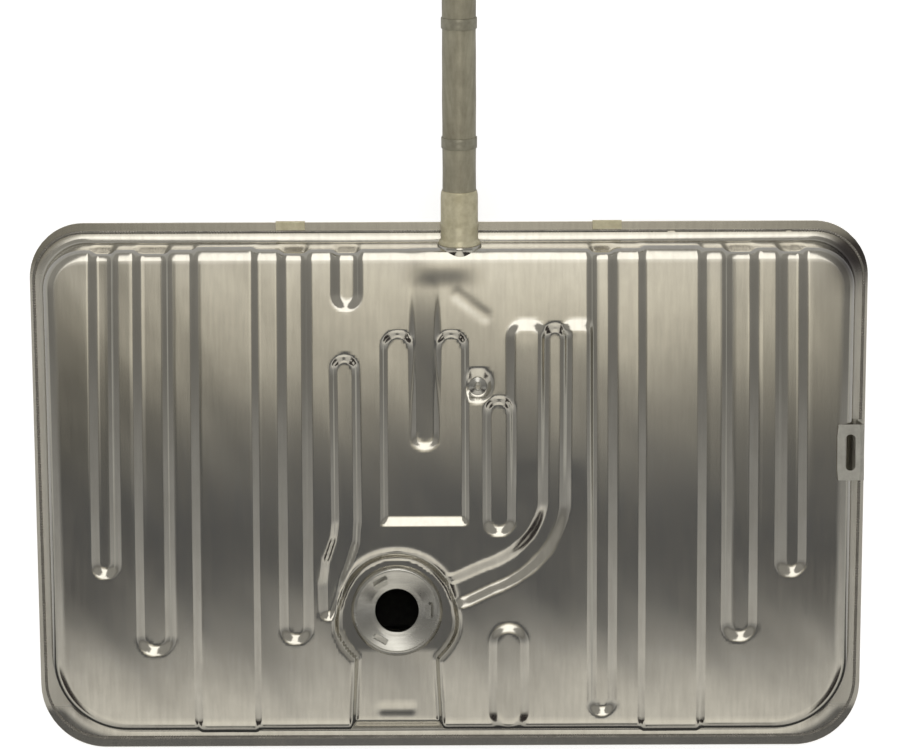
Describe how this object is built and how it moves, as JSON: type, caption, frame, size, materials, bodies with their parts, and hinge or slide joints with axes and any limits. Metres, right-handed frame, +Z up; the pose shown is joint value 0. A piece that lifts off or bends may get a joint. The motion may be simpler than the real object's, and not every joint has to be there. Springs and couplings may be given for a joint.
{
  "type": "car fuel tank",
  "caption": "Flat pressed-steel car fuel tank with a welded seam flange, long grooves in its top, a dished sender opening and a filler neck that leaves the rear wall.",
  "frame": {"origin": "middle of the flat underside that the tank rests on", "axes": "+Z up through the top with the sender opening, +Y towards the filler neck at the rear, +X to the right seen from above with the neck up"},
  "size_m": [1.0334, 0.9841, 0.249],
  "materials": {
    "coated_sheet": "lead-tin coated sheet, warm grey, satin",
    "plain_steel": "plated steel, satin",
    "neck_steel": "coated tube, khaki grey",
    "soldered_steel": "solder-dipped steel, pale yellow grey"
  },
  "bodies": {
    "root": {"upper_shell": "coated_sheet", "lower_shell": "coated_sheet", "neck_socket": "soldered_steel", "filler_neck": "neck_steel", "filler_mouth": "neck_steel", "vent_tube": "plain_steel", "neck_clip_lower": "plain_steel", "neck_clip_upper": "plain_steel", "sender_seat": "plain_steel", "vent_nipple": "soldered_steel", "strap_guide_left": "soldered_steel", "strap_guide_right": "soldered_steel", "side_bracket": "coated_sheet", "baffle_left": "plain_steel", "baffle_right": "plain_steel", "pickup_tray": "plain_steel"}
  },
  "joints": []
}
